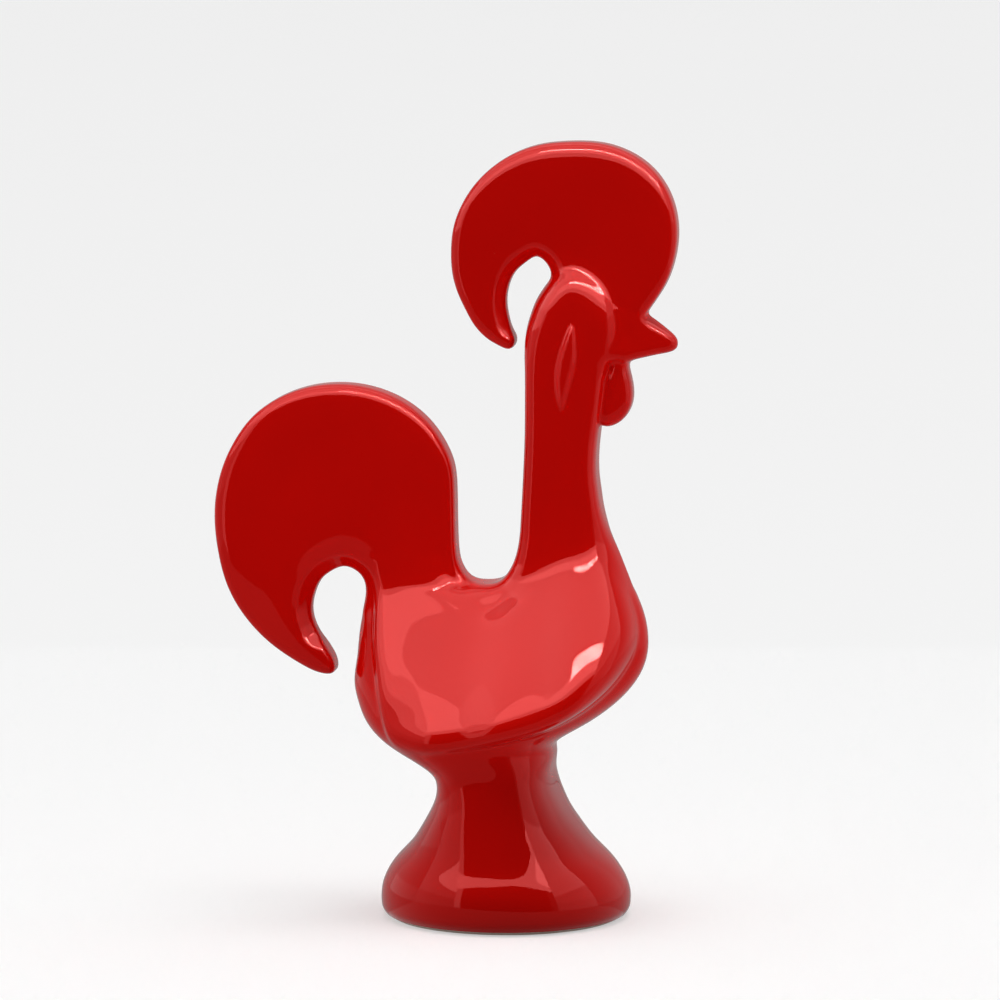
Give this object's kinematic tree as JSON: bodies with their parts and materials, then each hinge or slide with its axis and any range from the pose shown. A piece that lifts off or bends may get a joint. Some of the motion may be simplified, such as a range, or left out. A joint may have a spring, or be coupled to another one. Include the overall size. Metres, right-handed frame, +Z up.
{
  "type": "ceramic rooster ornament",
  "caption": "Standing rooster ornament in glossy red glazed ceramic, with disc-shaped comb and tail, swollen wings and a round trumpet foot.",
  "frame": {"origin": "middle of the whole bounding box in plan, on the plane that the foot stands on", "axes": "+X toward the beak, +Y toward the bird's left side, +Z up"},
  "size_m": [0.1202, 0.0648, 0.2012],
  "materials": {
    "red_glaze": "glossy red glaze",
    "bare_clay": "unglazed, matt"
  },
  "bodies": {
    "root": {"foot_ring": "bare_clay", "base_floor": "bare_clay", "pedestal": "red_glaze", "body_shell": "red_glaze", "left_wing": "red_glaze", "right_wing": "red_glaze", "neck": "red_glaze", "head": "red_glaze", "left_ear_lobe": "red_glaze", "right_ear_lobe": "red_glaze", "beak": "red_glaze", "wattle": "red_glaze", "comb": "red_glaze", "tail": "red_glaze"}
  },
  "joints": []
}
